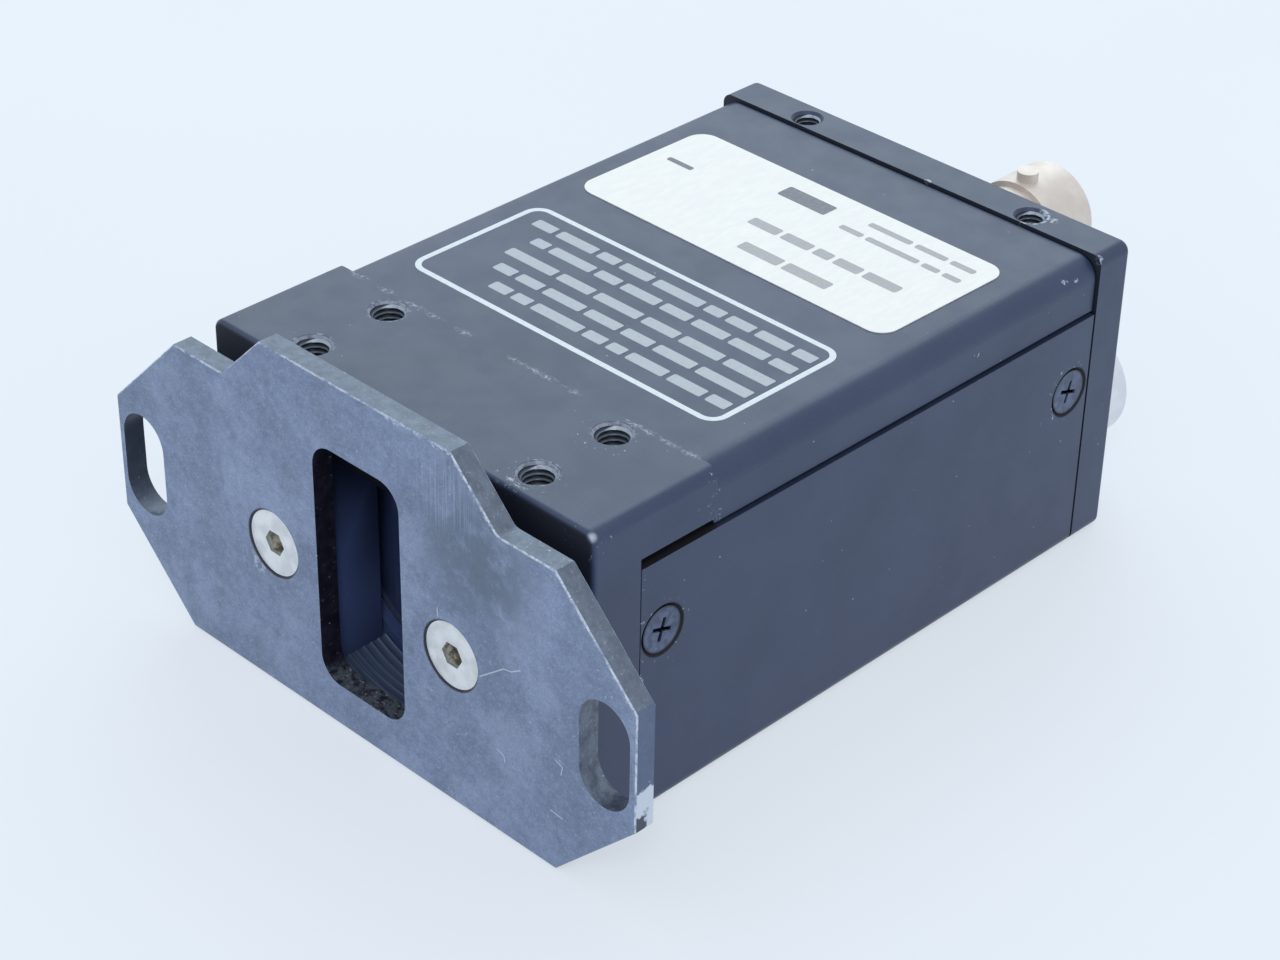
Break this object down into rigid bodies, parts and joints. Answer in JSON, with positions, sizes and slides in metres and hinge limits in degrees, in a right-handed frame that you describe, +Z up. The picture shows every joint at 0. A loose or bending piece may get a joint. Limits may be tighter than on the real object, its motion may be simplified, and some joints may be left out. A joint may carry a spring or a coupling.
{
  "type": "industrial camera",
  "caption": "Compact box-shaped industrial camera with a slotted steel adapter plate on its threaded lens mount, tapped holes in the top and coaxial and multi-pin jacks at the rear.",
  "frame": {"origin": "middle of the housing's underside, halfway along its depth, on the plane it rests on", "axes": "+Y from the lens mount to the rear connectors along the optical direction, +Z up, +X to the right as seen from in front"},
  "size_m": [0.0612, 0.0825, 0.033],
  "materials": {
    "blackened_steel": "black oxide, worn at the edges",
    "bright_steel": "bright",
    "black_steel": "black oxide",
    "black_anodised": "black anodised, satin",
    "nickel": "nickel-plated",
    "gold": "gold-plated",
    "white_plastic": "matte",
    "black_plastic": "moulded",
    "rubber": "matte",
    "glass": "polished",
    "ceramic": "fired",
    "silicon": "polished",
    "circuit_board": "solder mask",
    "flex": "film",
    "label_film": "printed film"
  },
  "bodies": {
    "root": {"adapter_plate": "blackened_steel", "plate_screws": "bright_steel", "mount_plug": "black_anodised", "lens_mount_ring": "black_anodised", "filter_gasket": "rubber", "filter_glass": "glass", "front_block": "black_anodised", "sensor_package": "ceramic", "sensor_die": "silicon", "sensor_lid_glass": "glass", "sensor_board": "circuit_board", "sensor_board_screws": "bright_steel", "upper_cover": "black_anodised", "chassis_screws": "bright_steel", "lower_cover": "black_anodised", "side_screws": "black_steel", "rear_panel": "black_anodised", "coax_jack_body": "nickel", "coax_jack_insulator": "white_plastic", "coax_jack_contact": "gold", "coax_jack_nut": "nickel", "multipin_shell": "nickel", "multipin_insert": "black_plastic", "multipin_pins": "gold", "multipin_nut": "nickel", "connector_board": "circuit_board", "video_board": "circuit_board", "video_board_chips": "black_plastic", "clock_crystal": "bright_steel", "power_board": "circuit_board", "power_board_parts": "black_plastic", "power_board_screws": "bright_steel", "board_standoffs": "nickel", "board_plug": "black_plastic", "board_socket": "black_plastic", "flex_sockets": "white_plastic", "sensor_flex": "flex", "rear_flex": "flex", "rating_label": "label_film"}
  },
  "joints": []
}
